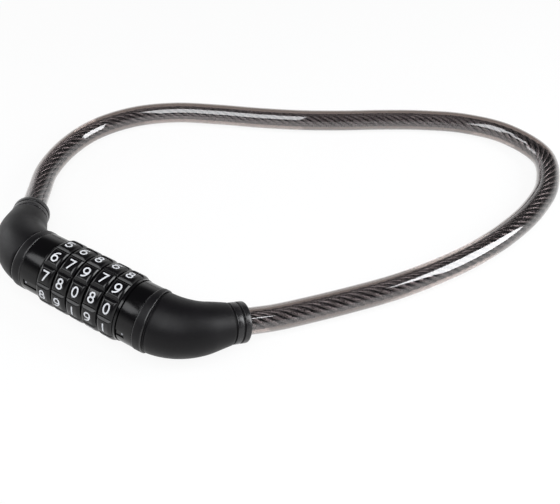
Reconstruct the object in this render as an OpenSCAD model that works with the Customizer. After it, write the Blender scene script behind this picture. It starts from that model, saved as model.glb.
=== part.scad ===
// Combination cable lock: a barrel of five number dials between two soft elbow boots, closed by
// a jacketed steel cable. The barrel's axis runs along X at the height of a dial's radius, the
// closed end is at -X, the bolt end pulls out towards +X, and the cable loop lies towards +Y.

/* [Dials] */
// Diameter over the number pads
dial_d = 30.5; // [30:0.5:33]
// Distance from one dial to the next
dial_pitch = 8.3; // [8.2:0.1:9.5]
// Thickness of a dial's wall over its code ring
dial_wall = 3.2; // [2.4:0.1:3.4]
// Width of the crown that carries the numbers
crown_w = 5.6; // [4.5:0.1:6.4]
// Depth of the chamfer beside the crown
crown_chamfer = 1; // [0.6:0.1:1.2]
// Width of the notch between two pads
notch_w = 2.6; // [2:0.1:3]
// Depth of the notch between two pads
notch_depth = 0.9; // [0.5:0.1:1]

/* [Code rings] */
// Width of a code ring along the barrel
ring_w = 4.3; // [3.9:0.1:4.5]
// Width of the gate that lets a tooth pass
gate_w = 5.8; // [5.4:0.1:6.6]
// Wall of the ring, from its bore to its rim
ring_wall = 3.5; // [3.3:0.1:3.7]
// Rim of the ring left outside the gate
ring_rim = 1.1; // [0.9:0.1:1.6]
// Step in the dial that the ring sits against
ring_step = 0.8; // [0.5:0.1:1]
// Width of the key that turns the ring with its dial
ring_key_w = 2; // [1.5:0.1:2.5]
// Height of that key above the ring
ring_key_h = 0.8; // [0.5:0.1:1]

/* [Core tube] */
// Wall of the tube that the dials turn on, round the bolt
core_wall = 4.2; // [4:0.1:4.5]
// Width of the end flange ring along the barrel
flange_w = 1; // [1:0.1:1.6]
// How far the end flange ring stands proud of the sleeves
flange_step = 0.3; // [0:0.1:0.6]
// Thickness of the retaining clip
clip_w = 0.4; // [0.3:0.05:0.5]
// How far the retaining clip stands out round the tube
clip_step = 1.7; // [1.2:0.1:2.4]
// Depth of the clip's groove in the tube
clip_groove = 0.6; // [0.4:0.1:0.8]

/* [Bolt] */
// Width of a tooth across the barrel
tooth_w = 3; // [2.6:0.1:3.2]
// Chamfer on the bolt's tip
bolt_chamfer = 0.8; // [0.4:0.1:1.2]

/* [End sleeves] */
// How far both sleeves stand below the dials
sleeve_step = 1.25; // [1:0.05:1.6]
// Length of the sleeve at the closed end
fixed_sleeve_l = 9.6; // [9.2:0.1:12]
// Length of the sleeve on the bolt
bolt_sleeve_l = 7.9; // [7.4:0.1:10]
// Chamfer on the sleeves' edges
sleeve_chamfer = 0.4; // [0.2:0.1:0.6]
// Step from a sleeve down to the spigot that its boot is pushed over
spigot_step = 3; // [2.4:0.1:3.4]
// Length of that spigot
spigot_l = 4.2; // [3:0.1:4.4]
// Width of the index recess in a sleeve
index_w = 3.4; // [2.4:0.1:4]
// Depth of the index recess
index_depth = 0.5; // [0.3:0.1:0.7]

/* [Elbow boots] */
// How far a boot's lip stands proud of its sleeve
boot_lip_step = 0.2; // [0.1:0.1:0.6]
// How far a boot's body lies below its sleeve, behind the lip
boot_step = 0.4; // [0:0.1:0.8]
// Width of the lip at the mouth
boot_lip_w = 3.5; // [2:0.1:3.8]
// Thickness of a boot over the cable, just before its collar
neck_wall = 3.3; // [2.4:0.1:4]
// Thickness of the collar that grips the cable
collar_wall = 3.1; // [2.4:0.1:4]
// Bend of the boot at the closed end, in degrees
fixed_boot_bend = 59.5; // [54:0.5:66]
// Bend radius of the boot at the closed end
fixed_boot_radius = 24.5; // [23:0.5:28]
// Straight tail of the boot at the closed end
fixed_boot_tail = 15.5; // [13:0.5:18]
// Bend of the boot on the bolt, in degrees
bolt_boot_bend = 51; // [46:0.5:56]
// Bend radius of the boot on the bolt
bolt_boot_radius = 27.5; // [25:0.5:31]
// Straight tail of the boot on the bolt
bolt_boot_tail = 16.5; // [13:0.5:18]
// How far a boot's collar hangs below the barrel's axis
boot_droop = 5.5; // [4:0.1:6]

/* [Cable] */
// Diameter over the cable's plastic jacket
cable_d = 12; // [11:0.5:12.5]
// Diameter of the steel rope in it
rope_d = 5.4; // [4.8:0.2:6]
// Thickness of the ferrules crimped on the rope's ends
ferrule_wall = 1.6; // [1.3:0.1:1.9]
// Length of a ferrule
ferrule_l = 6.4; // [5.2:0.1:6.6]

/* [Pins and detents] */
// Diameter of the cross pins
pin_d = 1.6; // [1.2:0.1:2]
// How deep a pin's tip sits in the ferrule's wall
pin_bite = 0.8; // [0.4:0.1:0.9]
// Diameter of the detent balls
ball_d = 2; // [1.6:0.1:2.2]
// Depth of a detent's hole under its ball
detent_spring_room = 1; // [0.8:0.1:1.2]
// Wire diameter of a detent spring
detent_wire_d = 0.26; // [0.2:0.02:0.3]

/* [Clearances] */
// Gap between a turning or pulling piece and what it faces
face_gap = 0.3; // [0.2:0.05:0.4]
// Radial clearance of a running fit
run_fit = 0.05; // [0.03:0.01:0.08]
// Radial clearance of a seat that stays put
seat_fit = 0.03; // [0.02:0.01:0.08]
// Side clearance of loose keys, slots and washers
loose_fit = 0.1; // [0.05:0.01:0.15]
// Clearance round the teeth
tooth_gap = 0.3; // [0.2:0.05:0.4]

/* [Hidden] */
$fn = 96;
// How far a cutting solid runs past the face that it cuts
over = 1;

// The dials: five of them, ten pads each. The index line is where the combination is read,
// counted from the top of the barrel towards the front (-Y).
dials = 5;
pads = 10;
pad_angle = 360 / pads;
index_angle = 84.5;
// How far each dial is turned away from its code number
dial_turn = [0, 0, 0, -5, 0];

// Places along the barrel
axis_z = dial_d / 2;
dial_half = (dial_pitch - face_gap) / 2;
sleeve_d = dial_d - 2 * sleeve_step;
spigot_d = sleeve_d - 2 * spigot_step;
flange_d = sleeve_d + 2 * flange_step;
boot_d = sleeve_d - 2 * boot_step;
boot_lip_d = sleeve_d + 2 * boot_lip_step;
neck_d = cable_d + 2 * neck_wall;
collar_d = cable_d + 2 * collar_wall;
stack_half = (dials - 1) / 2 * dial_pitch + dial_half;
fixed_sleeve_x = -stack_half - face_gap;
fixed_mouth_x = fixed_sleeve_x - fixed_sleeve_l;
flange_x = stack_half + face_gap;
seam_x = flange_x + flange_w;
bolt_sleeve_x = seam_x + face_gap;
bolt_mouth_x = bolt_sleeve_x + bolt_sleeve_l;
// The tube ends a little inside the bolt's sleeve, to leave a lip behind the clip's groove
core_end_x = seam_x + 0.2;
bolt_head_x = core_end_x + face_gap;
function dial_x(i) = (i - (dials + 1) / 2) * dial_pitch;

// Rings inside the dials. A ring sits against a shoulder, at the bolt side of its dial, and the
// tooth that it blocks waits in the free space at its closed side.
ring_z = dial_half - loose_fit - ring_w;
ring_seat = dial_d / 2 - dial_wall;
ring_r = ring_seat - seat_fit;
ring_bore = ring_r - ring_wall;
core_d = 2 * (ring_bore - run_fit);
clip_d = core_d + 2 * clip_step;
gate_reach = ring_r - ring_rim;
tooth_r = gate_reach - tooth_gap;
dial_bore = ring_r - ring_step;
tooth_l = dial_pitch - ring_w - 4 * tooth_gap - 0.1;
tooth_z = ring_z - 1.5 * tooth_gap - tooth_l;
slot_w = tooth_w + 2 * tooth_gap;
bolt_tip_x = fixed_sleeve_x + loose_fit;
bolt_bore = core_d / 2 - core_wall;
bolt_d = 2 * (bolt_bore - run_fit);
ferrule_bore = rope_d / 2 + run_fit;
ferrule_d = 2 * (ferrule_bore + ferrule_wall);
ferrule_seat = ferrule_d / 2 + seat_fit;

// Cross pins: one through each sleeve, in the index recess. The one on the bolt sits close to
// the ferrule's inner end.
fixed_pin_x = fixed_mouth_x + ferrule_l / 2;
pin_edge = 0.9;
bolt_pin_x = bolt_mouth_x - ferrule_l + pin_edge + pin_d / 2;
index_past_pin = pin_d / 2 + 0.3;
pin_top = sleeve_d / 2 - index_depth - loose_fit;
pin_tip = ferrule_d / 2 - pin_bite;
pin_hole_d = pin_d + 2 * run_fit;

// Detents under the rings, opposite the index line
ball_top = core_d / 2 - run_fit;
detent_hole_d = ball_d + 2 * loose_fit;
detent_floor = ball_top - ball_d - detent_spring_room;
detent_groove_d = ball_d * 0.9;
detent_turns = 2.5;
detent_steps = 12;
detent_sides = 6;

// Boots: a lip, a groove, a body that tapers along the bend, and a collar with two grooves.
// Both start with a short straight lead, and grip the cable along their straight tail.
boot_lead = 1;
boot_groove_w = 0.6;
boot_groove_depth = 0.6;
collar_ring_w = 2.7;
collar_groove_w = 0.9;
collar_groove_depth = 0.7;
boot_sides = 24;
boot_bore = cable_d / 2 + 0.2;
boot_grip = cable_d / 2 + seat_fit;
boot_pocket = (spigot_d / 2 + seat_fit) / cos(180 / boot_sides);
boot_pocket_l = spigot_l + 0.3;
boot_steps = 14;
bore_steps = 6;
cable_sides = 12;
spigot_bore = cable_d / 2 + 1;

// A boot is given as its side (-1 closed end, 1 bolt end), mouth, bend, bend radius and tail
fixed_boot = [-1, -fixed_mouth_x + seat_fit, fixed_boot_bend, fixed_boot_radius, fixed_boot_tail];
bolt_boot = [1, bolt_mouth_x + seat_fit, bolt_boot_bend, bolt_boot_radius, bolt_boot_tail];
function bend_length(boot) = boot[3] * boot[2] * PI / 180;
function boot_length(boot) = boot_lead + bend_length(boot) + boot[4];
function boot_angle(boot, s) =
    min(boot[2], max(0, s - boot_lead) / boot[3] * 180 / PI);

function unit(v) = v / norm(v);

// The point and the outward direction on a boot's centre line, at a length s from its mouth.
// The boot sinks below the barrel's axis as it leaves the mouth.
function boot_point(boot, s) =
    let (a = boot_angle(boot, s))
    let (after = max(0, s - boot_lead - bend_length(boot)))
    let (x = min(s, boot_lead) + boot[3] * sin(a) + after * cos(boot[2]))
    let (y = boot[3] * (1 - cos(a)) + after * sin(boot[2]))
    [boot[0] * (boot[1] + x), y, axis_z - boot_droop * pow(s / boot_length(boot), 2)];
function boot_direction(boot, s) =
    let (a = boot_angle(boot, s))
    unit([boot[0] * cos(a), sin(a), -2 * boot_droop * s / pow(boot_length(boot), 2)]);

// The route of the free cable from the closed end to the bolt end: x, y and the rise, which is
// 0 where the cable lies on the table and 1 at the height of the boots' collars
free_route = [
    [-70, 40.5, 0.3], [-78.5, 57, 0.03], [-82, 78, 0], [-79, 99.5, 0], [-67.5, 120.5, 0],
    [-49.5, 137, 0], [-27.5, 149, 0], [-5, 159.5, 0], [17, 171, 0], [38, 184, 0],
    [58.5, 198, 0], [79.5, 211, 0], [102, 221.5, 0], [126.5, 225, 0], [149, 215.5, 0],
    [157, 192.5, 0], [155, 168, 0], [148, 144, 0], [138, 121, 0],
    [125.5, 99.5, 0], [112, 80, 0], [97.5, 62.5, 0], [82, 45, 0.03], [72.5, 34, 0.3]
];
function route_point(q) =
    [q[0], q[1], cable_d / 2 + q[2] * (axis_z - boot_droop - cable_d / 2)];

// Lengths along a boot at which both its bore and the cable in it have a ring
function bore_lengths(boot) = [
    for (k = [0:bore_steps]) boot_lead + bend_length(boot) * k / bore_steps,
    boot_length(boot)
];

// The cable's stations as pairs of point and direction, from mouth to mouth. The jacket starts
// at the closed end's face, and stops a little short of the bolt's.
function boot_stations(boot, start) =
    [for (s = concat([start], bore_lengths(boot))) [boot_point(boot, s), boot_direction(boot, s)]];
function turned_back(stations) =
    [for (k = [len(stations) - 1:-1:0]) [stations[k][0], -stations[k][1]]];
fixed_stations = boot_stations(fixed_boot, 0);
bolt_stations = turned_back(boot_stations(bolt_boot, face_gap));
free_points = concat(
    [fixed_stations[len(fixed_stations) - 1][0]],
    [for (q = free_route) route_point(q)],
    [bolt_stations[0][0]]
);
free_stations = [
    for (k = [1:len(free_points) - 2])
        [free_points[k], unit(free_points[k + 1] - free_points[k - 1])]
];
cable_stations = concat(fixed_stations, free_stations, bolt_stations);
rope_end_l = ferrule_l - loose_fit;
rope_stations = concat(
    [[[fixed_mouth_x + rope_end_l, 0, axis_z], [-1, 0, 0]]],
    cable_stations,
    [[[bolt_mouth_x - rope_end_l, 0, axis_z], [-1, 0, 0]]]
);

// Swept solids. A ring has a point, a direction and a radius; axis is a fixed direction that
// the path never follows, and sets where each ring's corners start.
function ring_corners(p, t, r, axis, sides) =
    let (side = unit(cross(axis, t)))
    let (up = cross(t, side))
    [for (k = [0:sides - 1]) p + r * (cos(360 * k / sides) * side + sin(360 * k / sides) * up)];
function band(i, j, sides) = [
    for (k = [0:sides - 1])
        let (n = (k + 1) % sides)
        for (face = [
            [i * sides + k, j * sides + k, j * sides + n],
            [i * sides + k, j * sides + n, i * sides + n]
        ]) face
];

// A solid rod through rings [point, direction, radius], closed by flat ends
module swept_rod(rings, axis, sides) {
    corners = [for (q = rings) each ring_corners(q[0], q[1], q[2], axis, sides)];
    last = (len(rings) - 1) * sides;
    sides_faces = [for (i = [0:len(rings) - 2]) each band(i, i + 1, sides)];
    start_cap = [for (k = [1:sides - 2]) [0, k, k + 1]];
    end_cap = [for (k = [1:sides - 2]) [last, last + k + 1, last + k]];
    polyhedron(points = corners, faces = concat(sides_faces, start_cap, end_cap));
}

// A hollow solid: rings out along the outside and back along the inside, closed on itself
module swept_shell(rings, axis, sides) {
    corners = [for (q = rings) each ring_corners(q[0], q[1], q[2], axis, sides)];
    count = len(rings);
    polyhedron(
        points = corners,
        faces = [for (i = [0:count - 1]) each band(i, (i + 1) % count, sides)]
    );
}

// Places children on the barrel's axis, with their Z along +X
module on_axis(x) {
    translate([x, 0, axis_z])
        rotate([0, 90, 0])
            children();
}

// Turns what is drawn along the children's X to an angle from the top towards the front
module facing(angle) {
    rotate([0, 0, angle + 180])
        children();
}

// A bar along the children's X, from one radius to another, centred across
module radial_bar(r0, r1, width, z0, z1) {
    translate([r0, -width / 2, z0])
        cube([r1 - r0, width, z1 - z0]);
}

module radial_pin(r0, r1, d, z) {
    translate([r0, 0, z])
        rotate([0, 90, 0])
            cylinder(d = d, h = r1 - r0);
}

module tube(r_outer, r_inner, z0, z1) {
    translate([0, 0, z0])
        difference() {
            cylinder(r = r_outer, h = z1 - z0);
            translate([0, 0, -over])
                cylinder(r = r_inner, h = z1 - z0 + 2 * over);
        }
}

// Pieces of the cable

module cable_jacket() {
    outside = [for (q = cable_stations) [q[0], q[1], cable_d / 2]];
    inside = [for (q = turned_back(cable_stations)) [q[0], -q[1], rope_d / 2 + loose_fit]];
    color([0.42, 0.38, 0.36, 0.6])
        swept_shell(concat(outside, inside), [0, 0, 1], cable_sides);
}

module cable_core() {
    rings = [for (q = rope_stations) [q[0], q[1], rope_d / 2]];
    color([0.25, 0.25, 0.26])
        swept_rod(rings, [0, 0, 1], cable_sides);
}

module ferrule(x, pin_x) {
    color("silver")
        on_axis(x)
            difference() {
                tube(ferrule_d / 2, ferrule_bore, 0, ferrule_l);
                facing(index_angle)
                    radial_pin(pin_tip - loose_fit, ferrule_d, pin_hole_d, pin_x - x);
            }
}

module fixed_ferrule() {
    ferrule(fixed_mouth_x, fixed_pin_x);
}

module bolt_ferrule() {
    ferrule(bolt_mouth_x - ferrule_l, bolt_pin_x);
}

// Elbow boots

// Radius of a boot's body, from the groove behind the lip to the neck
function body_radius(u) = neck_d / 2 + (boot_d - neck_d) / 2 * (1 - pow(u, 1.5));

function boot_profile(boot) =
    let (total = boot_length(boot))
    let (body_start = boot_lip_w + boot_groove_w)
    let (collar = collar_ring_w + collar_groove_w)
    let (neck = total - 2 * collar)
    let (lip_r = boot_lip_d / 2)
    let (groove_r = boot_d / 2 - boot_groove_depth)
    let (collar_r = collar_d / 2)
    let (collar_floor = collar_r - collar_groove_depth)
    concat(
        [[0, lip_r - 0.3], [0.3, lip_r], [boot_lip_w, lip_r]],
        [[boot_lip_w, groove_r], [body_start, groove_r]],
        [for (k = [0:boot_steps])
            [body_start + (neck - body_start) * k / boot_steps, body_radius(k / boot_steps)]],
        [[neck, collar_floor], [neck + collar_groove_w, collar_floor]],
        [[neck + collar_groove_w, collar_r], [total - collar, collar_r]],
        [[total - collar, collar_floor], [total - collar_ring_w, collar_floor]],
        [[total - collar_ring_w, collar_r], [total - 0.4, collar_r], [total, collar_r - 0.4]],
        [for (k = [bore_steps + 1:-1:1])
            [bore_lengths(boot)[k], k < bore_steps ? boot_bore : boot_grip]]
    );

// The pocket over the sleeve's spigot stays straight, where the body already bends
function pocket_ring(boot, s, r) =
    [[boot[0] * (boot[1] + s), 0, axis_z], [boot[0], 0, 0], r];

module elbow_boot(boot) {
    rings = concat(
        [for (q = boot_profile(boot))
            [boot_point(boot, q[0]), boot_direction(boot, q[0]), q[1]]],
        [
            pocket_ring(boot, boot_pocket_l, spigot_bore),
            pocket_ring(boot, boot_pocket_l, boot_pocket),
            pocket_ring(boot, 0, boot_pocket)
        ]
    );
    color([0.1, 0.1, 0.11])
        swept_shell(rings, [0, 0, 1], boot_sides);
}

module fixed_elbow_boot() {
    elbow_boot(fixed_boot);
}

module bolt_elbow_boot() {
    elbow_boot(bolt_boot);
}

// End sleeves, drawn with the dial side at z = 0 and the spigot upwards

module end_sleeve(length, pin_z) {
    seat = core_d / 2 + seat_fit;
    r = sleeve_d / 2;
    c = sleeve_chamfer;
    color([0.04, 0.04, 0.05])
        difference() {
            rotate_extrude()
                polygon([
                    [seat, 0], [r - c, 0], [r, c], [r, length - c], [r - c, length],
                    [spigot_d / 2, length], [spigot_d / 2, length + spigot_l],
                    [spigot_bore, length + spigot_l], [spigot_bore, length], [seat, length]
                ]);
            facing(index_angle)
                radial_bar(r - index_depth, r + over, index_w, -over, pin_z + index_past_pin);
            facing(index_angle)
                radial_pin(core_d / 2 - over, r + over, pin_hole_d, pin_z);
        }
}

module fixed_end_sleeve() {
    on_axis(fixed_sleeve_x)
        mirror([0, 0, 1])
            end_sleeve(fixed_sleeve_l, fixed_sleeve_x - fixed_pin_x);
}

module bolt_end_sleeve() {
    on_axis(bolt_sleeve_x)
        end_sleeve(bolt_sleeve_l, bolt_pin_x - bolt_sleeve_x);
}

module cross_pin(x) {
    color("gainsboro")
        on_axis(x)
            facing(index_angle)
                radial_pin(pin_tip, pin_top, pin_d, 0);
}

module fixed_cross_pin() {
    cross_pin(fixed_pin_x);
}

module bolt_cross_pin() {
    cross_pin(bolt_pin_x);
}

// The barrel's inside

module lock_core_tube() {
    r = core_d / 2;
    color([0.62, 0.62, 0.6])
        difference() {
            on_axis(fixed_mouth_x)
                cylinder(r = r, h = core_end_x - fixed_mouth_x);
            on_axis(bolt_tip_x - face_gap)
                cylinder(r = bolt_bore, h = core_end_x - bolt_tip_x + 2 * over);
            on_axis(bolt_tip_x)
                facing(index_angle)
                    radial_bar(0, r + over, slot_w, 0, core_end_x - bolt_tip_x + over);
            on_axis(fixed_mouth_x - over)
                cylinder(r = ferrule_seat, h = ferrule_l + loose_fit + over);
            on_axis(fixed_pin_x)
                facing(index_angle)
                    radial_pin(ferrule_d / 2 - over, r + over, pin_hole_d, 0);
            on_axis(clip_x - loose_fit)
                tube(r + over, r - clip_groove, 0, clip_w + 2 * loose_fit);
            for (i = [1:dials])
                on_axis(detent_x(i))
                    facing(index_angle + 180)
                        radial_pin(detent_floor, r + over, detent_hole_d, 0);
        }
}

// The clip lies in its groove, sunk into the flange ring's outer face
clip_x = seam_x - clip_w - 2 * loose_fit;

module end_flange_ring() {
    color([0.05, 0.05, 0.06])
        on_axis(flange_x)
            difference() {
                tube(flange_d / 2, core_d / 2 + seat_fit, 0, flange_w);
                translate([0, 0, clip_x - flange_x - loose_fit])
                    cylinder(r = clip_d / 2 + loose_fit, h = flange_w);
                facing(index_angle)
                    radial_bar(0, gate_reach, slot_w, -over, flange_w + over);
            }
}

module retaining_clip() {
    color("slategray")
        on_axis(clip_x)
            difference() {
                tube(clip_d / 2, core_d / 2 - clip_groove + loose_fit, 0, clip_w);
                facing(index_angle)
                    radial_bar(0, clip_d, slot_w + 2 * tooth_gap, -over, clip_w + over);
            }
}

function detent_x(i) = dial_x(i) + ring_z + ring_w / 2;

module detent_balls() {
    color("gainsboro")
        for (i = [1:dials])
            on_axis(detent_x(i))
                facing(index_angle + 180)
                    translate([ball_top - ball_d / 2, 0, 0])
                        sphere(d = ball_d, $fn = 32);
}

module detent_springs() {
    out = [0, -sin(index_angle + 180), cos(index_angle + 180)];
    across = cross(out, [1, 0, 0]);
    coil_r = (ball_d - detent_wire_d) / 2;
    reach = (ball_d + detent_wire_d) / 2 + run_fit / 2;
    foot = detent_floor + detent_wire_d / 2 + run_fit / 2;
    rise = ball_top - ball_d / 2 - sqrt(pow(reach, 2) - pow(coil_r, 2)) - foot;
    steps = detent_turns * detent_steps;
    function coil_point(i, k) =
        let (a = 360 * k / detent_steps)
        [detent_x(i), 0, axis_z] + out * (foot + rise * k / steps)
        + coil_r * (cos(a) * [1, 0, 0] + sin(a) * across);
    color("silver")
        for (i = [1:dials])
            swept_rod(
                [for (k = [0:steps])
                    [coil_point(i, k), unit(coil_point(i, k + 0.5) - coil_point(i, k - 0.5)),
                        detent_wire_d / 2]],
                out, detent_sides
            );
}

module locking_bolt() {
    r = bolt_d / 2;
    shank = bolt_head_x - bolt_tip_x;
    color([0.75, 0.75, 0.74])
        difference() {
            union() {
                on_axis(bolt_tip_x)
                    rotate_extrude()
                        polygon([
                            [0, 0], [r - bolt_chamfer, 0], [r, bolt_chamfer],
                            [r, shank + over], [0, shank + over]
                        ]);
                on_axis(bolt_head_x)
                    cylinder(d = core_d, h = bolt_mouth_x - bolt_head_x);
                for (i = [1:dials])
                    on_axis(dial_x(i) + tooth_z)
                        facing(index_angle)
                            intersection() {
                                cylinder(r = tooth_r, h = tooth_l);
                                radial_bar(0, tooth_r + over, tooth_w, -over, tooth_l + over);
                            }
            }
            on_axis(bolt_mouth_x - ferrule_l - loose_fit)
                cylinder(r = ferrule_seat, h = ferrule_l + 2 * over);
            on_axis(bolt_pin_x)
                facing(index_angle)
                    radial_pin(ferrule_d / 2 - over, core_d, pin_hole_d, 0);
        }
}

// Dials and code rings

// A notch of V section between two pads, right across the dial
module pad_notch(r) {
    half = notch_w / 2 * (1 + over / notch_depth);
    translate([0, 0, -dial_half - over])
        linear_extrude(2 * (dial_half + over))
            polygon([[r - notch_depth, 0], [r + over, -half], [r + over, half]]);
}

module dial(i) {
    r = dial_d / 2;
    seat = ring_seat;
    color([0.06, 0.06, 0.07])
        on_axis(dial_x(i))
            facing(index_angle + dial_turn[i - 1])
                difference() {
                    rotate_extrude()
                        polygon([
                            [dial_bore, -dial_half], [r - crown_chamfer, -dial_half],
                            [r, -crown_w / 2], [r, crown_w / 2], [r - crown_chamfer, dial_half],
                            [seat, dial_half], [seat, ring_z], [dial_bore, ring_z]
                        ]);
                    for (k = [0:pads - 1])
                        rotate([0, 0, (k + 0.5) * pad_angle])
                            pad_notch(r);
                    rotate([0, 0, 90])
                        radial_bar(0, seat + ring_key_h, ring_key_w + 2 * loose_fit,
                            ring_z, dial_half + over);
                }
}

module code_ring(i) {
    color([0.72, 0.6, 0.3])
        on_axis(dial_x(i) + ring_z)
            facing(index_angle + dial_turn[i - 1])
                difference() {
                    union() {
                        cylinder(r = ring_r, h = ring_w);
                        rotate([0, 0, 90])
                            radial_bar(ring_r / 2, ring_r + ring_key_h - loose_fit,
                                ring_key_w, 0, ring_w);
                    }
                    translate([0, 0, -over])
                        cylinder(r = ring_bore, h = ring_w + 2 * over);
                    radial_bar(0, gate_reach, gate_w, -over, ring_w + over);
                    for (k = [1:pads - 1])
                        rotate([0, 0, k * pad_angle])
                            translate([ring_bore, 0, -over])
                                cylinder(d = detent_groove_d, h = ring_w + 2 * over);
                }
}

cable_jacket();
cable_core();
fixed_elbow_boot();
bolt_elbow_boot();
fixed_end_sleeve();
bolt_end_sleeve();
end_flange_ring();
retaining_clip();
lock_core_tube();
dial(1);  // dial_1
dial(2);  // dial_2
dial(3);  // dial_3
dial(4);  // dial_4
dial(5);  // dial_5
code_ring(1);  // code_ring_1
code_ring(2);  // code_ring_2
code_ring(3);  // code_ring_3
code_ring(4);  // code_ring_4
code_ring(5);  // code_ring_5
detent_balls();
detent_springs();
locking_bolt();
fixed_ferrule();
bolt_ferrule();
fixed_cross_pin();
bolt_cross_pin();
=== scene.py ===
import math
from collections import namedtuple

import bpy
from mathutils import Matrix, Vector


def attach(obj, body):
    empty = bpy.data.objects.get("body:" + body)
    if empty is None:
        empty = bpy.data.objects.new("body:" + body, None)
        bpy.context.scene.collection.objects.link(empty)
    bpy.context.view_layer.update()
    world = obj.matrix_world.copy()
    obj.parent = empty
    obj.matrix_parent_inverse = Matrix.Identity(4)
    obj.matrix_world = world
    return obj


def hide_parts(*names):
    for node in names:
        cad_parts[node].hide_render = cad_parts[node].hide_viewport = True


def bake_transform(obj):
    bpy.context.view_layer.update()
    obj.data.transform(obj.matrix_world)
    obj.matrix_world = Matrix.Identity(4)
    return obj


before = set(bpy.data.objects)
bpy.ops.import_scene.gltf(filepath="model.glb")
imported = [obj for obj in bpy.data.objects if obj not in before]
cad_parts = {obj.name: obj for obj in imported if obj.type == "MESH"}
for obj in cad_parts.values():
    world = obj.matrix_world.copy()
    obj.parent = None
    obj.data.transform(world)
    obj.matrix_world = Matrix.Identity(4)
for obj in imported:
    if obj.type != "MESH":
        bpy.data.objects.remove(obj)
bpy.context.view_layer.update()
MM = 0.001


# ---------------------------------------------------------------- objects and their places

def add_object(name, data):
    obj = bpy.data.objects.new(name, data)
    bpy.context.scene.collection.objects.link(obj)
    return obj


def placed(x, y, z, place):
    """The matrix of an object at place, with its own axes along x, y and z."""
    return Matrix((
        (x.x, y.x, z.x, place.x),
        (x.y, y.y, z.y, place.y),
        (x.z, y.z, z.z, place.z),
        (0, 0, 0, 1),
    ))


def square_to(t):
    """Two directions square to t and to each other, the first of them level."""
    side = Vector((0, 0, 1)).cross(t).normalized()
    return side, t.cross(side)


# ---------------------------------------------------------------- camera

# Fitted to the dials, the collars and the cable's edges in the photo
CAMERA_PLACE = Vector((147.804, -144.118, 262.367)) * MM
RIGHT = Vector((0.8608, 0.5081, 0.0290)).normalized()
FORWARD = Vector((-0.3550, 0.6410, -0.6810)).normalized()
UP = RIGHT.cross(FORWARD).normalized()
RIGHT = FORWARD.cross(UP).normalized()
cam_data = bpy.data.cameras.new("camera")
cam_data.lens = 45.58
cam_data.shift_x = 0.0836
cam_data.shift_y = -0.1115
cam_data.clip_start = 0.01
camera = add_object("camera", cam_data)
camera.matrix_world = placed(RIGHT, UP, -FORWARD, CAMERA_PLACE)
bpy.context.scene.camera = camera

# ---------------------------------------------------------------- the cable's way, in mm

# Height of the barrel's axis over the table
AXIS_Z = 15.25
CABLE_R = 6.0
# How far a boot's collar hangs below the barrel's axis
DROOP = 5.5
# Straight piece of a boot before its bend
LEAD = 1.0
Boot = namedtuple("Boot", "side mouth bend radius tail")
FIXED_BOOT = Boot(side=-1, mouth=30.53, bend=math.radians(59.5), radius=24.5, tail=15.5)
BOLT_BOOT = Boot(side=1, mouth=30.13, bend=math.radians(51), radius=27.5, tail=16.5)
# x, y, and how much of the rise from the table to the collars the cable has made there
FREE_ROUTE = [
    (-70, 40.5, 0.3), (-78.5, 57, 0.03), (-82, 78, 0), (-79, 99.5, 0), (-67.5, 120.5, 0),
    (-49.5, 137, 0), (-27.5, 149, 0), (-5, 159.5, 0), (17, 171, 0), (38, 184, 0),
    (58.5, 198, 0), (79.5, 211, 0), (102, 221.5, 0), (126.5, 225, 0), (149, 215.5, 0),
    (157, 192.5, 0), (155, 168, 0), (148, 144, 0), (138, 121, 0),
    (125.5, 99.5, 0), (112, 80, 0), (97.5, 62.5, 0), (82, 45, 0.03), (72.5, 34, 0.3),
]
# Length of a step of the free cable, steps of the smooth line between two points of the route,
# and steps along a boot
FREE_STEP = 1.5
SPAN_STEPS = 24
BOOT_STEPS = 28


def boot_length(boot):
    return LEAD + boot.radius * boot.bend + boot.tail


def boot_point(boot, s):
    """The boot's middle line at s from its mouth: a lead, a bend and a straight tail."""
    angle = min(boot.bend, max(0.0, s - LEAD) / boot.radius)
    after = max(0.0, s - LEAD - boot.radius * boot.bend)
    x = min(s, LEAD) + boot.radius * math.sin(angle) + after * math.cos(boot.bend)
    y = boot.radius * (1 - math.cos(angle)) + after * math.sin(boot.bend)
    z = AXIS_Z - DROOP * (s / boot_length(boot)) ** 2
    return Vector((boot.side * (boot.mouth + x), y, z))


def boot_line(boot):
    return [boot_point(boot, boot_length(boot) * k / BOOT_STEPS) for k in range(BOOT_STEPS + 1)]


def travelled(line):
    """How far along the line each of its points lies."""
    out = [0.0]
    for a, b in zip(line, line[1:]):
        out.append(out[-1] + (b - a).length)
    return out


def smooth_line(points):
    """A centripetal Catmull-Rom line through the points."""
    pts = [2 * points[0] - points[1]] + points + [2 * points[-1] - points[-2]]
    out = []
    for i in range(1, len(pts) - 2):
        p0, p1, p2, p3 = pts[i - 1:i + 3]
        t0 = 0.0
        t1 = (p1 - p0).length ** 0.5
        t2 = t1 + (p2 - p1).length ** 0.5
        t3 = t2 + (p3 - p2).length ** 0.5
        for k in range(SPAN_STEPS):
            t = t1 + (t2 - t1) * k / SPAN_STEPS
            a1 = p0.lerp(p1, (t - t0) / (t1 - t0))
            a2 = p1.lerp(p2, (t - t1) / (t2 - t1))
            a3 = p2.lerp(p3, (t - t2) / (t3 - t2))
            b1 = a1.lerp(a2, (t - t0) / (t2 - t0))
            b2 = a2.lerp(a3, (t - t1) / (t3 - t1))
            out.append(b1.lerp(b2, (t - t1) / (t2 - t1)))
    return out + [points[-1].copy()]


def even_steps(line, step):
    """The same line in even steps of about the given length."""
    along = travelled(line)
    count = round(along[-1] / step)
    out = []
    j = 0
    for k in range(count + 1):
        want = along[-1] * k / count
        while j < len(line) - 2 and along[j + 1] < want:
            j += 1
        share = (want - along[j]) / (along[j + 1] - along[j])
        out.append(line[j].lerp(line[j + 1], share))
    return out


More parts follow.
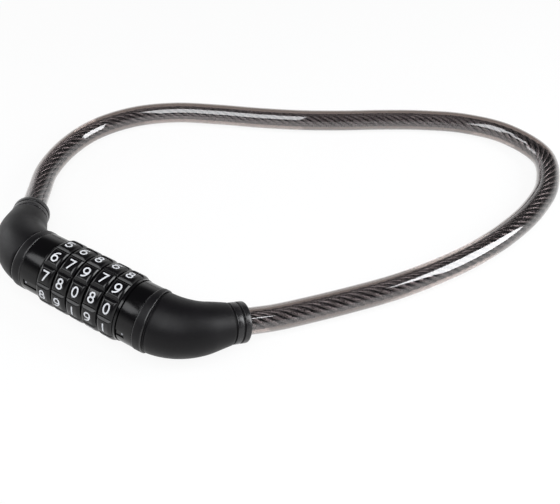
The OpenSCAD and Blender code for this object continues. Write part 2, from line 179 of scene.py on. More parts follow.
rise = AXIS_Z - DROOP - CABLE_R
route = [Vector((x, y, CABLE_R + part * rise)) for x, y, part in FREE_ROUTE]
collar_start = boot_point(FIXED_BOOT, boot_length(FIXED_BOOT))
collar_end = boot_point(BOLT_BOOT, boot_length(BOLT_BOOT))
route_line = smooth_line([collar_start] + route + [collar_end])
free_line = even_steps(route_line, FREE_STEP)
CENTRE_LINE = boot_line(FIXED_BOOT)[:-1] + free_line + boot_line(BOLT_BOOT)[-2::-1]

# ---------------------------------------------------------------- mesh helpers

ROUND_STEPS = 5
# The most that a rounding takes of the line beside it
ROUND_SHARE = 0.45


def make(name, verts, faces, material, smooth=True, sharp=None):
    mesh = bpy.data.meshes.new(name)
    mesh.from_pydata([Vector(v) * MM for v in verts], [], faces)
    mesh.validate()
    mesh.update()
    if smooth:
        mesh.polygons.foreach_set("use_smooth", [True] * len(mesh.polygons))
    if sharp:
        mesh.set_sharp_from_angle(angle=math.radians(sharp))
    mesh.materials.append(material)
    return add_object(name, mesh)


def frames(line):
    """Each point of the line with the two directions square to the line there."""
    out = []
    for i, p in enumerate(line):
        t = (line[min(i + 1, len(line) - 1)] - line[max(i - 1, 0)]).normalized()
        out.append((p, *square_to(t)))
    return out


def circle(p, side, up, r, n, turn=0.0):
    return [
        p + side * (r * math.cos(turn + math.tau * k / n))
        + up * (r * math.sin(turn + math.tau * k / n))
        for k in range(n)
    ]


def loft(rings, loop=False):
    """Quads between rings of equal counts. The ends get a cap, or in a loop meet each other."""
    verts = [p for ring in rings for p in ring]
    n = len(rings[0])
    last = len(verts) - n
    faces = [
        (i * n + k, i * n + (k + 1) % n, (i + 1) * n + (k + 1) % n, (i + 1) * n + k)
        for i in range(len(rings) - 1) for k in range(n)
    ]
    if loop:
        faces += [(last + k, last + (k + 1) % n, (k + 1) % n, k) for k in range(n)]
    else:
        faces += [tuple(reversed(range(n))), tuple(range(last, last + n))]
    return verts, faces


def rounded(corners):
    """The closed outline of (x, r, rounding) corners."""
    out = []
    for i, (x, r, rounding) in enumerate(corners):
        p = Vector((x, r))
        if rounding == 0:
            out.append(tuple(p))
            continue
        before = Vector(corners[i - 1][:2]) - p
        after = Vector(corners[(i + 1) % len(corners)][:2]) - p
        start = p + before.normalized() * min(rounding, before.length * ROUND_SHARE)
        end = p + after.normalized() * min(rounding, after.length * ROUND_SHARE)
        for k in range(ROUND_STEPS + 1):
            t = k / ROUND_STEPS
            out.append(tuple(start * (1 - t) ** 2 + p * (2 * t * (1 - t)) + end * t ** 2))
    return out


def revolved(name, outline, angles, material, cut, sharp=None):
    """A closed outline of (x, r) turned about the barrel's axis. Angles count from the top
    towards the front, in degrees; cut(x, r, angle) gives the radius there, r or less."""
    rings = []
    for a in angles:
        rad = math.radians(a)
        ring = []
        for x, r in outline:
            q = cut(x, r, a)
            ring.append(Vector((x, -q * math.sin(rad), AXIS_Z + q * math.cos(rad))))
        rings.append(ring)
    return make(name, *loft(rings, loop=True), material, sharp=sharp)


# ---------------------------------------------------------------- materials

def set_inputs(node, **values):
    """Sets inputs by name. An underscore stands for a space."""
    for key, value in values.items():
        node.inputs[key.replace("_", " ")].default_value = value


def add_node(tree, kind, **values):
    node = tree.nodes.new("ShaderNode" + kind)
    set_inputs(node, **values)
    return node


class Nodes:
    """A material's node tree, with short calls for the nodes used here."""

    def __init__(self, name, **values):
        self.material = bpy.data.materials.new(name)
        self.material.use_nodes = True
        self.tree = self.material.node_tree
        self.link = self.tree.links.new
        self.shader = self.tree.nodes["Principled BSDF"]
        set_inputs(self.shader, **values)
        self.coords = add_node(self.tree, "TexCoord")

    def noise(self, scale, detail, rough=0.55, stretch=None):
        node = add_node(self.tree, "TexNoise", Scale=scale, Detail=detail, Roughness=rough)
        place = self.coords.outputs["Object"]
        if stretch:
            mapping = add_node(self.tree, "Mapping", Scale=stretch)
            self.link(place, mapping.inputs["Vector"])
            place = mapping.outputs["Vector"]
        self.link(place, node.inputs["Vector"])
        return node.outputs["Fac"]

    def ramp(self, source, *stops):
        """A ramp between two (place, colour) stops, where a colour may be one number for grey."""
        node = add_node(self.tree, "ValToRGB")
        for element, (place, colour) in zip(node.color_ramp.elements, stops, strict=True):
            element.position = place
            if not isinstance(colour, tuple):
                colour = (colour,) * 3
            element.color = (*colour, 1)
        self.link(source, node.inputs["Fac"])
        return node.outputs["Color"]

    def mix(self, factor, a, b, kind="MIX"):
        """A mix of two colours. They are inputs 6 and 7 of the node, and its output 2."""
        node = add_node(self.tree, "Mix")
        node.data_type = "RGBA"
        node.blend_type = kind
        node.inputs[0].default_value = factor
        self.link(a, node.inputs[6])
        self.link(b, node.inputs[7])
        return node.outputs[2]

    def bump(self, height, strength, distance):
        """Bump on top of the bump that is there already."""
        node = add_node(self.tree, "Bump", Strength=strength, Distance=distance)
        self.link(height, node.inputs["Height"])
        normal = self.shader.inputs["Normal"]
        if normal.is_linked:
            self.link(normal.links[0].from_socket, node.inputs["Normal"])
        self.link(node.outputs["Normal"], normal)

    def colour(self, socket):
        self.link(socket, self.shader.inputs["Base Color"])

    def rough(self, socket):
        self.link(socket, self.shader.inputs["Roughness"])


def boot_material():
    m = Nodes("boot_rubber", IOR=1.48, Specular_IOR_Level=0.22)
    broad = m.noise(90, 5, 0.6)
    grain = m.noise(2600, 2, 0.6)
    base = m.ramp(broad, (0.3, (0.0020, 0.0016, 0.0026)), (0.7, (0.0036, 0.0030, 0.0044)))
    m.colour(m.mix(0.35, base, m.ramp(grain, (0.3, 0.0015), (0.75, 0.008))))
    m.rough(m.ramp(m.noise(240, 5), (0.25, 0.41), (0.8, 0.51)))
    m.bump(grain, 0.22, 0.00006)
    m.bump(m.noise(160, 3), 0.06, 0.0004)
    return m.material


def edge_material():
    m = Nodes("boot_worn_edge", IOR=1.48, Specular_IOR_Level=0.55)
    broad = m.noise(500, 5)
    m.colour(m.ramp(broad, (0.3, (0.0060, 0.0056, 0.0064)), (0.7, (0.0120, 0.0112, 0.0125))))
    m.rough(m.ramp(m.noise(900, 5, 0.65), (0.3, 0.2), (0.7, 0.34)))
    m.bump(m.noise(2600, 2, 0.6), 0.1, 0.00004)
    return m.material


def gloss_material():
    m = Nodes("sleeve_gloss", IOR=1.5, Specular_IOR_Level=0.3)
    broad = m.noise(60, 4)
    scuff = m.noise(700, 6, 0.7, (1, 7, 7))
    m.colour(m.ramp(broad, (0.3, (0.0012, 0.0011, 0.0014)), (0.7, (0.0024, 0.0021, 0.0027))))
    m.rough(m.ramp(scuff, (0.35, 0.15), (0.72, 0.23)))
    m.bump(scuff, 0.05, 0.00004)
    return m.material


def dial_material():
    m = Nodes("dial_satin", IOR=1.5, Specular_IOR_Level=0.36)
    broad = m.noise(110, 4)
    fine = m.noise(1500, 4, 0.6)
    m.colour(m.ramp(broad, (0.3, (0.0020, 0.0018, 0.0023)), (0.7, (0.0040, 0.0036, 0.0044))))
    m.rough(m.ramp(fine, (0.3, 0.13), (0.75, 0.21)))
    m.bump(fine, 0.1, 0.00004)
    return m.material


def digit_material():
    m = Nodes("digit_paint", Roughness=0.45)
    worn = m.noise(900, 5, 0.65)
    m.colour(m.ramp(worn, (0.25, (0.60, 0.61, 0.64)), (0.6, (0.70, 0.715, 0.74))))
    m.bump(m.noise(2400, 3), 0.12, 0.00003)
    return m.material


def jacket_material():
    m = Nodes("smoke_jacket", Transmission_Weight=1.0, Roughness=0.05, IOR=1.49,
              Coat_Weight=1.0, Coat_Roughness=0.04, Coat_IOR=1.65)
    smoke = m.noise(45, 3)
    m.colour(m.ramp(smoke, (0.3, (0.197, 0.158, 0.143)), (0.7, (0.238, 0.194, 0.177))))
    m.bump(m.noise(55, 2), 0.012, 0.0006)
    return m.material


def rope_material():
    """Steel wire with painted shade down in the grooves, where the mesh's attribute "crown" is low.
    """
    m = Nodes("wire_rope", Metallic=1.0)
    grain = m.noise(1500, 5, 0.6)
    crown = add_node(m.tree, "Attribute")
    crown.attribute_name = "crown"
    # Painted shade: the steel's colour is multiplied down to about 6% in the grooves between the
    # strands
    groove = m.ramp(crown.outputs["Fac"], (0.5, (0.06, 0.057, 0.062)), (0.97, 1))
    steel = m.ramp(grain, (0.3, (0.40, 0.41, 0.45)), (0.7, (0.60, 0.61, 0.66)))
    m.colour(m.mix(1.0, steel, groove, "MULTIPLY"))
    m.rough(m.ramp(grain, (0.3, 0.24), (0.75, 0.36)))
    m.bump(grain, 0.1, 0.00004)
    return m.material


def metal(name, bright, dark, roughness, scale, stretch=None):
    m = Nodes(name, Metallic=1.0)
    grain = m.noise(scale, 5, 0.6, stretch)
    m.colour(m.ramp(grain, (0.3, dark), (0.7, bright)))
    m.rough(m.ramp(grain, (0.3, roughness * 0.8), (0.75, roughness * 1.25)))
    m.bump(grain, 0.15, 0.00005)
    return m.material


BOOT = boot_material()
EDGE = edge_material()
GLOSS = gloss_material()
DIAL = dial_material()
DIGIT = digit_material()
JACKET = jacket_material()
ROPE = rope_material()
SPRING = metal("spring_steel", (0.36, 0.37, 0.40), (0.24, 0.25, 0.27), 0.32, 900)
ZINC = metal("zinc_alloy", (0.60, 0.60, 0.59), (0.46, 0.46, 0.45), 0.38, 420)
BRASS = metal("ring_brass", (0.72, 0.55, 0.25), (0.56, 0.42, 0.18), 0.3, 800, (1, 6, 6))
BRIGHT = metal("bright_steel", (0.80, 0.80, 0.81), (0.62, 0.62, 0.63), 0.2, 700)
BOLT = metal("bolt_steel", (0.66, 0.66, 0.65), (0.50, 0.50, 0.49), 0.28, 500, (1, 8, 8))
FERRULE = metal("ferrule_metal", (0.74, 0.74, 0.75), (0.58, 0.58, 0.59), 0.35, 600)

# ---------------------------------------------------------------- cable

# How far the jacket runs into each collar
HIDDEN = 3.0
JACKET_SIDES = 40
ROPE_R = 2.7
STRANDS = 6
STRAND_R = ROPE_R * 0.295
STRAND_OUT = ROPE_R - STRAND_R
STRAND_SIDES = 12
CORE_STRAND_R = STRAND_R * 1.05
CORE_STRAND_SIDES = 8
# Length of cable in which a strand winds once round the rope
LAY = 29.0
# Length of cable in which a strand's own section turns by one radian
WIRE_TURN = 5

centre_frames = frames(CENTRE_LINE)
centre_way = travelled(CENTRE_LINE)


def inside_collar(boot):
    """The end of the jacket's middle line in a collar, from its inner end outwards."""
    return [boot_point(boot, boot_length(boot) - depth) for depth in (HIDDEN, HIDDEN / 2)]


def strand(phase, out, radius, sides):
    """Rings along a strand that winds round the cable's middle line, at the distance out."""
    line = []
    for (p, side, up), s in zip(centre_frames, centre_way):
        a = phase + math.tau * s / LAY
        line.append(p + side * (out * math.cos(a)) + up * (out * math.sin(a)))
    return [circle(*place, radius, sides, -s / WIRE_TURN)
            for place, s in zip(frames(line), centre_way)]


jacket_line = inside_collar(FIXED_BOOT) + free_line + inside_collar(BOLT_BOOT)[::-1]
rings = [circle(*place, CABLE_R, JACKET_SIDES) for place in frames(jacket_line)]
jacket = make("jacket", *loft(rings), JACKET)
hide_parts("cable_jacket")

strands = [strand(math.tau * k / STRANDS, STRAND_OUT, STRAND_R, STRAND_SIDES)
           for k in range(STRANDS)]
strands.append(strand(0, 0, CORE_STRAND_R, CORE_STRAND_SIDES))
verts, faces, crowns = [], [], []
for rings in strands:
    v, f = loft(rings)
    # 0 on the rope's middle line, 1 on its outer circle; the rope's material paints shade where it
    # is low
    crowns += [(q - p).length / ROPE_R for p, ring in zip(CENTRE_LINE, rings) for q in ring]
    faces += [tuple(i + len(verts) for i in face) for face in f]
    verts += v
rope = make("rope", verts, faces, ROPE)
rope.data.attributes.new("crown", "FLOAT", "POINT").data.foreach_set("value", crowns)
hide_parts("cable_core")

for piece in (jacket, rope):
    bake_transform(piece)

# ---------------------------------------------------------------- elbow boots

LIP_R, BODY_R, NECK_R, COLLAR_R = 14.2, 13.6, 9.3, 9.1
# The collar: a groove, a ring, a second groove and a second ring up to the end
COLLAR_L = 7.2
GROOVE_W, GROOVE_DEPTH, RING_W = 0.9, 0.7, 2.7
# The body's skin from behind the lip's groove to just before the neck
TAPER_START, TAPER_GAP, TAPER_STEPS, TAPER_POWER = 4.35, 0.12, 40, 1.5
# Radii inside: in the collar, in the bend, and round the sleeve's spigot
GRIP_R, BORE_R, POCKET_R = CABLE_R + 0.03, CABLE_R + 0.2, 11.15
# The pocket for the sleeve's spigot, which doesn't bend: all that is nearer the mouth than
# POCKET_END and inside POCKET_SKIN. The mouth's edge up to STRAIGHT_END is straight too.
POCKET_END, POCKET_SKIN = 5, 11.3
STRAIGHT_END = 0.3
BOOT_SIDES = 72
TANGENT_STEP = 0.2
# Where the lip's two worn edges begin and end
LIP_EDGES = ((-1, 0.65), (3.05, 3.505))
# Worn skin on the collar: how far from the end, how much its radius may change from one point to
# the next, and how far below the collar's it may be
WORN_L, WORN_STEP, WORN_DEPTH = 7, 0.35, 0.4
# Radius inside which there is no skin
LEAST_SKIN_R = 8


def collar_groove(a, skin):
    """A groove from a on, in skin of the given radius, and the start of the ring after it."""
    b = a + GROOVE_W
    floor = COLLAR_R - GROOVE_DEPTH
    return [(a, skin - 0.1), (a + 0.05, floor + 0.2), (a + 0.15, floor + 0.04),
            (a + GROOVE_W / 2, floor), (b - 0.15, floor + 0.04), (b - 0.05, floor + 0.2),
            (b, COLLAR_R - 0.14), (b + 0.14, COLLAR_R - 0.02), (b + 0.35, COLLAR_R),
            (b + 1.35, COLLAR_R)]


def boot_outline(total):
    """A boot's section as (distance from the mouth, radius): out along the skin, back inside."""
    neck = total - COLLAR_L
    second = neck + GROOVE_W + RING_W
    lip = [(0, 11.2), (0, 13.75), (0.1, 14.02), (0.32, 14.17), (0.6, LIP_R), (3.1, LIP_R),
           (3.34, 14.15), (3.47, 14.02), (3.5, 13.85)]
    lip_groove = [(3.52, 13.15), (3.62, 13.02), (3.8, 13.0), (3.98, 13.02), (4.08, 13.12),
                  (4.12, 13.3), (4.2, 13.48)]
    taper = []
    for k in range(TAPER_STEPS + 1):
        u = k / TAPER_STEPS
        taper.append((TAPER_START + (neck - TAPER_GAP - TAPER_START) * u,
                      NECK_R + (BODY_R - NECK_R) * (1 - u ** TAPER_POWER)))
    ring_edge = [(second - 0.3, COLLAR_R), (second - 0.1, COLLAR_R - 0.03)]
    end = [(total - 0.5, COLLAR_R), (total - 0.22, COLLAR_R - 0.08),
           (total - 0.05, COLLAR_R - 0.3), (total, COLLAR_R - 0.6)]
    grip = [(total, CABLE_R + 0.5), (total - 0.15, CABLE_R + 0.15), (total - 0.5, GRIP_R),
            (total - 6, GRIP_R)]
    bore = [(total - 8, BORE_R), (total * 0.6, BORE_R), (total * 0.35, BORE_R), (5.2, CABLE_R + 0.6)]
    pocket = [(4.6, 7.1), (4.55, POCKET_R), (2, POCKET_R)]
    return (lip + lip_groove + taper + collar_groove(neck, NECK_R) + ring_edge
            + collar_groove(second, COLLAR_R) + end + grip + bore + pocket)


def is_worn(s, r, next_s, next_r, total):
    """Whether the skin between two points of the outline is worn: on the lip's two edges, and
    on the collar's rings but not down in its grooves."""
    least = min(r, next_r)
    lip = any(s > start and next_s < end for start, end in LIP_EDGES)
    ring = abs(next_r - r) < WORN_STEP and least > COLLAR_R - WORN_DEPTH
    return least > LEAST_SKIN_R and (lip or (s > total - WORN_L and ring))


def elbow(name, node, boot, body):
    """A boot: its outline swept along its bend, with the worn edges in their own material."""
    total = boot_length(boot)
    outline = boot_outline(total)
    straight = Vector((boot.side, 0, 0))
    rings = []
    for s, r in outline:
        p = boot_point(boot, s)
        ahead = boot_point(boot, s + TANGENT_STEP)
        t = (ahead - boot_point(boot, max(0, s - TANGENT_STEP))).normalized()
        if s < STRAIGHT_END:
            t = straight
        if s < POCKET_END and r < POCKET_SKIN:
            p = Vector((boot.side * (boot.mouth + s), 0, AXIS_Z))
            t = straight
        rings.append(circle(p, *square_to(t), r, BOOT_SIDES))
    obj = make(name, *loft(rings, loop=True), BOOT, sharp=50)
    obj.data.materials.append(EDGE)
    for i, polygon in enumerate(obj.data.polygons):
        k = i // BOOT_SIDES
        if is_worn(*outline[k], *outline[(k + 1) % len(outline)], total):
            polygon.material_index = 1
    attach(obj, body)
    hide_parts(node)


elbow("boot_fixed", "fixed_elbow_boot", FIXED_BOOT, "barrel")
elbow("boot_bolt", "bolt_elbow_boot", BOLT_BOOT, "bolt")

# ---------------------------------------------------------------- dials

DIALS = 5
PADS = 10
PAD_ANGLE = 360 / PADS
PITCH = 8.3
DIAL_X = [(i - (DIALS - 1) / 2) * PITCH for i in range(DIALS)]
# Where the combination is read, in degrees from the top towards the front
INDEX = 84.5
# The number that each dial has at the index line, and how far the dial is turned away from there
FIRST = [8, 9, 1, 9, 1]
TURN = [0, 0, 0, -5, 0]
DIAL_R, SHOULDER_R, DIAL_HALF, CROWN_HALF = 15.25, 14.25, 4.0, 2.8
EDGE_ROUNDING = 0.7
# Radius of the code ring's seat, and radius and place of the step that the ring sits against
SEAT_R, STEP_R, STEP_X = 12.05, 11.2, -0.4
NOTCH_HALF, NOTCH_DEPTH, NOTCH_SOFT = 1.3, 0.9, 0.12
# The outline is dense outside this radius
DENSE_R = 14
OUTLINE_STEP = 0.14
# Steps from a notch's middle to its side, steps past that side, and steps over a pad
NOTCH_STEPS, PAST_STEPS, PAD_STEPS = 9, 3, 9


def soft_min(a, b, k):
    """The lesser of a and b, rounded off where they are within k of each other."""
    h = max(k - abs(a - b), 0) / k
    return min(a, b) - h * h * k / 4


def dial_outline(x0):
    """A dial's section as (x, radius), with its middle at x0."""
    corners = [
        (-DIAL_HALF, STEP_R, 0), (-DIAL_HALF, SHOULDER_R, EDGE_ROUNDING),
        (-CROWN_HALF, DIAL_R, EDGE_ROUNDING), (CROWN_HALF, DIAL_R, EDGE_ROUNDING),
        (DIAL_HALF, SHOULDER_R, EDGE_ROUNDING), (DIAL_HALF, SEAT_R, 0), (STEP_X, SEAT_R, 0),
        (STEP_X, STEP_R, 0),
    ]
    return [(x0 + x, r) for x, r in rounded(corners)]


def dense(outline):
    """The outline with its outer lines cut up into short ones."""
    out = []
    for a, b in zip(outline, outline[1:] + outline[:1]):
        a, b = Vector(a), Vector(b)
        n = math.ceil((b - a).length / OUTLINE_STEP) if min(a.y, b.y) > DENSE_R else 1
        out += [tuple(a.lerp(b, k / n)) for k in range(n)]
    return out


def notch_angles(turn):
    """Angles round a dial, dense across its notches."""
    step = math.degrees(NOTCH_HALF / DIAL_R) / NOTCH_STEPS
    reach = NOTCH_STEPS + PAST_STEPS
    gap = PAD_ANGLE - 2 * step * reach
    out = []
    for pad in range(PADS):
        c = turn + PAD_ANGLE * (pad + 0.5)
        out += [c + step * k for k in range(-reach, reach + 1)]
        out += [c + step * reach + gap * k / PAD_STEPS for k in range(1, PAD_STEPS)]
    return out


def notches(turn):
    """A cut for revolved: V notches between pads, one of which has its middle at turn degrees."""
    def cut(x, r, a):
        off = (a - turn) % PAD_ANGLE - PAD_ANGLE / 2
        away = abs(math.radians(off)) * DIAL_R
        floor = DIAL_R - NOTCH_DEPTH * (1 - away / NOTCH_HALF)
        return soft_min(r, floor, NOTCH_SOFT)
    return cut


for i in range(DIALS):
    turn = INDEX + TURN[i]
    obj = revolved(f"number_dial_{i + 1}", dense(dial_outline(DIAL_X[i])), notch_angles(turn), DIAL,
                   notches(turn))
    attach(obj, f"dial_{i + 1}")
    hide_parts(f"dial_{i + 1}")

# ---------------------------------------------------------------- digits


def arc(cx, cy, rx, ry, a0, a1, n):
    """Part of an ellipse from the angle a0 to a1, in degrees, in n steps."""
    angles = [math.radians(a0 + (a1 - a0) * k / n) for k in range(n + 1)]
    return [(cx + rx * math.cos(a), cy + ry * math.sin(a)) for a in angles]


def bezier(p0, p1, p2, p3, n):
    out = []
    for k in range(n + 1):
        t = k / n
        weights = ((1 - t) ** 3, 3 * t * (1 - t) ** 2, 3 * t * t * (1 - t), t ** 3)
        out.append(tuple(sum(w * p[j] for w, p in zip(weights, (p0, p1, p2, p3))) for j in (0, 1)))
    return out


# The middle lines of the digits' strokes, in a box one unit high and centred on (0, 0)
SIX = (bezier((0.20, 0.44), (-0.08, 0.44), (-0.29, 0.14), (-0.27, -0.16), 12)
       + arc(0, -0.17, 0.265, 0.27, 178, 540, 26)[1:])
STROKES = {
    0: [arc(0, 0, 0.25, 0.44, 0, 360, 30)],
    1: [[(0.0, -0.44), (0.0, 0.44)]],
    2: [arc(0, 0.19, 0.25, 0.25, 160, -30, 14) + [(-0.26, -0.42), (0.27, -0.42)]],
    3: [arc(-0.01, 0.215, 0.23, 0.225, 150, -90, 16), arc(-0.01, -0.205, 0.26, 0.235, 90, -150, 18)],
    4: [[(0.14, -0.44), (0.14, 0.44), (-0.27, -0.17), (0.28, -0.17)]],
    5: [[(0.22, 0.43), (-0.19, 0.43), (-0.23, 0.03)],
        bezier((-0.23, 0.03), (-0.13, 0.12), (-0.05, 0.13), (0.02, 0.13), 6)
        + arc(0, -0.155, 0.265, 0.285, 86, -150, 20)[1:]],
    6: [SIX],
    7: [[(-0.25, 0.43), (0.26, 0.43), (-0.09, -0.44)]],
    8: [arc(0, 0.225, 0.205, 0.215, 0, 360, 24), arc(0, -0.205, 0.255, 0.235, 0, 360, 26)],
    9: [[(-x, -y) for x, y in SIX]],
}
# Size of the box, width of a stroke, and the longest step along one
BOX_W, BOX_H = 5.1, 4.896
STROKE = 0.68
STROKE_STEP = 0.35
# How far the print stands out of the dial, and how far down its sides run
PRINT_OUT, PRINT_IN = 0.028, 0.03
END_STEPS = 5
# A corner's edges move out as 1 / cosine of half its turn, and the cosine counts as at least this
MITRE_LIMIT = 0.55


def ribbon(path, half):
    """The left and right edges of a stroke along the path, with round ends."""
    pts = [Vector(p) for p in path]
    closed = (pts[0] - pts[-1]).length < 1e-4
    left, right = [], []
    n = len(pts)
    for i, p in enumerate(pts):
        if closed:
            a, b = pts[(i - 1) % (n - 1)], pts[(i + 1) % (n - 1)]
        else:
            a, b = pts[max(i - 1, 0)], pts[min(i + 1, n - 1)]
        d1 = (p - a).normalized() if (p - a).length > 1e-6 else (b - p).normalized()
        d2 = (b - p).normalized() if (b - p).length > 1e-6 else d1
        t = (d1 + d2).normalized()
        side = Vector((-t.y, t.x)) * (half / max(MITRE_LIMIT, t.dot(d1)))
        left.append(p + side)
        right.append(p - side)
    if closed:
        return left, right
    for tip, inner, sign in ((pts[0], pts[1], -1), (pts[-1], pts[-2], 1)):
        t = (tip - inner).normalized()
        side = Vector((-t.y, t.x)) * sign
        for k in range(1, END_STEPS):
            a = math.pi / 2 * k / END_STEPS
            c = tip + t * (half * math.sin(a))
            wide = side * (half * math.cos(a))
            at = 0 if sign < 0 else len(left)
            left.insert(at, c + wide)
            right.insert(at, c - wide)
    return left, right


def add_digit(value, x0, angle, verts, faces):
    """A digit's strokes as thin strips, bent round the dial and open towards it."""
    for path in STROKES[value]:
        scaled = [(u * BOX_W, v * BOX_H) for u, v in path]
        fine = []
        for a, b in zip(scaled, scaled[1:]):
            n = math.ceil(math.dist(a, b) / STROKE_STEP)
            fine += [(a[0] + (b[0] - a[0]) * k / n, a[1] + (b[1] - a[1]) * k / n) for k in range(n)]
        left, right = ribbon(fine + [scaled[-1]], STROKE / 2)
        start = len(verts)
        for l, r in zip(left, right):
            for q, lift in ((l, -PRINT_IN), (l, PRINT_OUT), (r, PRINT_OUT), (r, -PRINT_IN)):
                a = math.radians(angle) - q.y / DIAL_R
                d = DIAL_R + lift
                verts.append(Vector((x0 + q.x, -d * math.sin(a), AXIS_Z + d * math.cos(a))))
        for k in range(len(left) - 1):
            s = start + 4 * k
            faces += [(s + j, s + j + 1, s + j + 5, s + j + 4) for j in range(3)]


for i in range(DIALS):
    verts, faces = [], []
    for k in range(PADS):
        angle = INDEX + TURN[i] + PAD_ANGLE * k
        add_digit((FIRST[i] + k) % PADS, DIAL_X[i], angle, verts, faces)
    obj = make(f"digits_{i + 1}", verts, faces, DIGIT, smooth=False)
    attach(obj, f"dial_{i + 1}")

# ---------------------------------------------------------------- sleeves and pin ends

# Radii of a sleeve's skin and of its bore
SLEEVE_R, SLEEVE_SEAT_R = 14.0, 8.53
# The spigot that the boot is pushed over: its radius, its bore's radius and its length
SPIGOT_R, SPIGOT_BORE_R, SPIGOT_L = 11.0, 7.0, 4.2
RECESS_W, RECESS_DEPTH = 3.4, 0.5
FIXED_PIN_X, BOLT_PIN_X = -27.3, 25.4
# How far the index recess runs past the middle of its pin
PAST_PIN = 1.1
# Where points are set across the recess, in halves of its width from its middle
RECESS_MARKS = (-1.1, -1.02, -0.995, -0.93, -0.5, 0, 0.5, 0.93, 0.995, 1.02, 1.1)
# The same along the sleeve, in mm from the recess's end
RECESS_END_MARKS = (-0.25, -0.04, 0.02, 0.2)
# The widest step round a sleeve, in degrees
SLEEVE_STEP = 2.5
# The pin's end as (radius, distance from the barrel's axis)
PIN_END = [(0.6, 13.35), (0.6, 13.5), (0.52, 13.55), (0.32, 13.58), (0.1, 13.59)]
PIN_SIDES = 24


def all_round(marks):
    """The given angles, and even steps over the rest of the turn."""
    first, last = marks[0], marks[-1]
    n = math.ceil((first + 360 - last) / SLEEVE_STEP)
    return marks + [last + (first + 360 - last) * k / n for k in range(1, n)]


def sleeve(name, node, body, x_face, x_mouth, side, pin_x):
    """side is the way that the spigot points; the index recess runs from the face past the pin."""
    half = math.degrees(math.asin(RECESS_W / 2 / SLEEVE_R))
    floor = SLEEVE_R - RECESS_DEPTH
    end = pin_x + side * PAST_PIN
    spigot = x_mouth + side * SPIGOT_L
    skin = [(x_face, SLEEVE_SEAT_R, 0), (x_face, SLEEVE_R, 0.4), (x_mouth, SLEEVE_R, 0.25)]
    inside = [(x_mouth, SPIGOT_R, 0), (spigot, SPIGOT_R, 0.2), (spigot, SPIGOT_BORE_R, 0),
              (x_mouth, SPIGOT_BORE_R, 0), (x_mouth, SLEEVE_SEAT_R, 0)]
    outline = []
    corners = rounded(skin + inside)
    for (x, r), (next_x, next_r) in zip(corners, corners[1:] + corners[:1]):
        outline.append((x, r))
        if min(r, next_r) > SLEEVE_R - 1e-6 and abs(next_x - x) > 2:
            outline += [(end + side * mark, SLEEVE_R) for mark in RECESS_END_MARKS]

    def cut(x, r, a):
        off = (a - INDEX + 180) % 360 - 180
        if r < floor or abs(off) > half or (x - end) * side > 0:
            return r
        return min(r, floor / math.cos(math.radians(off)))

    angles = all_round([INDEX + half * mark for mark in RECESS_MARKS])
    obj = revolved(name, outline, angles, GLOSS, cut, sharp=40)
    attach(obj, body)
    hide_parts(node)


def pin_end(name, body, x):
    """The rounded end of a cross pin, which shows on the floor of the index recess."""
    turn = math.radians(INDEX)
    out, across = Vector((0, -math.sin(turn), math.cos(turn))), Vector((1, 0, 0))
    centre = Vector((x, 0, AXIS_Z))
    rings = [circle(centre + out * height, across, out.cross(across), radius, PIN_SIDES)
             for radius, height in PIN_END]
    obj = make(name, *loft(rings), SPRING)
    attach(obj, body)


sleeve("sleeve_fixed", "fixed_end_sleeve", "barrel", x_face=-20.9, x_mouth=-30.5, side=-1,
       pin_x=FIXED_PIN_X)
sleeve("sleeve_bolt", "bolt_end_sleeve", "bolt", x_face=22.2, x_mouth=30.1, side=1,
       pin_x=BOLT_PIN_X)
pin_end("pin_end_fixed", "barrel", FIXED_PIN_X)
pin_end("pin_end_bolt", "bolt", BOLT_PIN_X)

# ---------------------------------------------------------------- the pieces shown as they are

PLAIN_NODES = {
    "end_flange_ring": DIAL, "retaining_clip": SPRING, "lock_core_tube": ZINC,
    "detent_balls": BRIGHT, "detent_springs": SPRING, "locking_bolt": BOLT,
    "fixed_ferrule": FERRULE, "bolt_ferrule": FERRULE,
    "fixed_cross_pin": BRIGHT, "bolt_cross_pin": BRIGHT,
    **{f"code_ring_{i}": BRASS for i in range(1, DIALS + 1)},
}
for node, material in PLAIN_NODES.items():
    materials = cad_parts[node].data.materials
    if len(materials) == 0:
        materials.append(material)
    for k in range(len(materials)):
        materials[k] = material

# ---------------------------------------------------------------- floor and world, in metres

FLOOR_HALF = 6
# The floor lies this much under the lock
FLOOR_DROP = 0.0003
# How far the floor's own look gives way to plain white where it is seen directly
FLOOR_WHITE = 0.9
# Seen directly, the world is plain white up to the first height and its own grey above the
# second. Both are sines of an elevation.
WHITE_TO, WHITE_GONE = 0.12, 0.45


def math_node(tree, operation, a, b):
    """The result of an operation on a socket and another socket or a number."""
    node = add_node(tree, "Math")
    node.operation = operation
    tree.links.new(a, node.inputs[0])
    if isinstance(b, bpy.types.NodeSocket):
        tree.links.new(b, node.inputs[1])
    else:
        node.inputs[1].default_value = b
    return node.outputs[0]


def show_mix(tree, factor, a, b, output):
    """Makes the mix of two shaders the surface of the tree's output."""
    node = add_node(tree, "MixShader")
    tree.links.new(factor, node.inputs["Fac"])
    tree.links.new(a, node.inputs[1])
    tree.links.new(b, node.inputs[2])
    tree.links.new(node.outputs["Shader"], tree.nodes[output].inputs["Surface"])


def seen_directly(tree):
    """1 for camera, glossy and transmission rays, 0 for the rest."""
    path = add_node(tree, "LightPath")
    total = path.outputs["Is Camera Ray"]
    for name in ("Is Glossy Ray", "Is Transmission Ray"):
        total = math_node(tree, "MAXIMUM", total, path.outputs[name])
    return total


floor_mesh = bpy.data.meshes.new("floor")
floor_mesh.from_pydata([(x * FLOOR_HALF, y * FLOOR_HALF, 0)
                        for x, y in ((-1, -1), (1, -1), (1, 1), (-1, 1))], [], [(0, 1, 2, 3)])
floor = add_object("floor", floor_mesh)
floor.location.z = -FLOOR_DROP

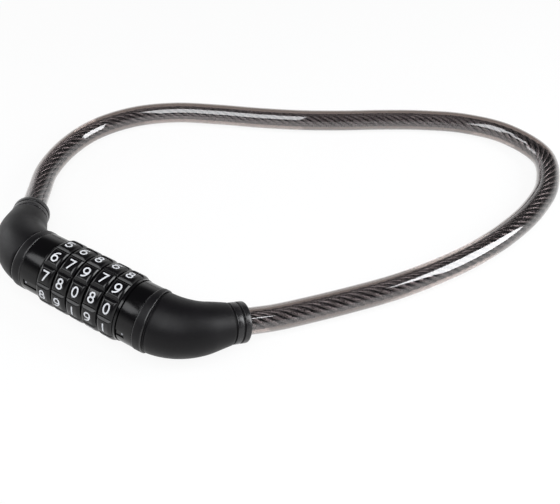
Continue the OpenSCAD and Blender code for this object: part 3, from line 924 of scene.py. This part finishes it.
floor_material = bpy.data.materials.new("floor")
floor_material.use_nodes = True
tree = floor_material.node_tree
paper = tree.nodes["Principled BSDF"]
set_inputs(paper, Base_Color=(0.86, 0.86, 0.86, 1), Roughness=0.9, Specular_IOR_Level=0.1)
glow = add_node(tree, "Emission", Color=(1, 1, 1, 1), Strength=1.0)
share = math_node(tree, "MULTIPLY", seen_directly(tree), FLOOR_WHITE)
show_mix(tree, share, paper.outputs["BSDF"], glow.outputs["Emission"], "Material Output")
floor_mesh.materials.append(floor_material)

world = bpy.data.worlds.new("studio")
bpy.context.scene.world = world
world.use_nodes = True
tree = world.node_tree
around = tree.nodes["Background"]
set_inputs(around, Color=(0.98, 0.99, 1.0, 1), Strength=0.09)
white = add_node(tree, "Background", Color=(1, 1, 1, 1), Strength=1.0)
split = add_node(tree, "SeparateXYZ")
tree.links.new(add_node(tree, "TexCoord").outputs["Generated"], split.inputs["Vector"])
low = add_node(tree, "MapRange", From_Min=WHITE_TO, From_Max=WHITE_GONE, To_Min=1.0, To_Max=0.0)
tree.links.new(split.outputs["Z"], low.inputs["Value"])
# White for the camera at any height, and low down also for glossy and transmission rays
horizon = math_node(tree, "MULTIPLY", seen_directly(tree), low.outputs["Result"])
camera_ray = add_node(tree, "LightPath").outputs["Is Camera Ray"]
share = math_node(tree, "MAXIMUM", camera_ray, horizon)
show_mix(tree, share, around.outputs["Background"], white.outputs["Background"], "World Output")


# ---------------------------------------------------------------- lamps, in metres

def softbox(name, azimuth, elevation, distance, size, radiance, roll=0.0, target=(0.03, 0.1, 0)):
    """A rectangular lamp. A white face square to it gets radiance times its solid angle over pi."""
    data = bpy.data.lights.new(name, "AREA")
    data.shape = "RECTANGLE"
    data.size, data.size_y = size
    data.energy = radiance * math.pi * size[0] * size[1]
    data.color = (0.97, 0.98, 1.0)
    az, el, turn = (math.radians(a) for a in (azimuth, elevation, roll))
    d = Vector((math.cos(el) * math.cos(az), math.cos(el) * math.sin(az), math.sin(el)))
    across, up = square_to(d)
    x = across * math.cos(turn) + up * math.sin(turn)
    y = up * math.cos(turn) - across * math.sin(turn)
    add_object(name, data).matrix_world = placed(x, y, d, Vector(target) + d * distance)


softbox("front_window", azimuth=-73.8, elevation=60.4, distance=0.644, size=(0.354, 0.505),
        radiance=5.0, roll=9.4)
softbox("side_window", azimuth=19.3, elevation=33.0, distance=0.633, size=(0.416, 0.278),
        radiance=8.5, roll=77.8)
softbox("back_window", azimuth=-163.0, elevation=17.0, distance=0.75, size=(0.58, 0.3),
        radiance=3.0)
softbox("left_card", azimuth=-133.4, elevation=50.1, distance=1.2, size=(0.46, 0.40),
        radiance=4.2, target=(0.0, 0.0, 0))

bpy.context.scene.view_settings.view_transform = "Standard"
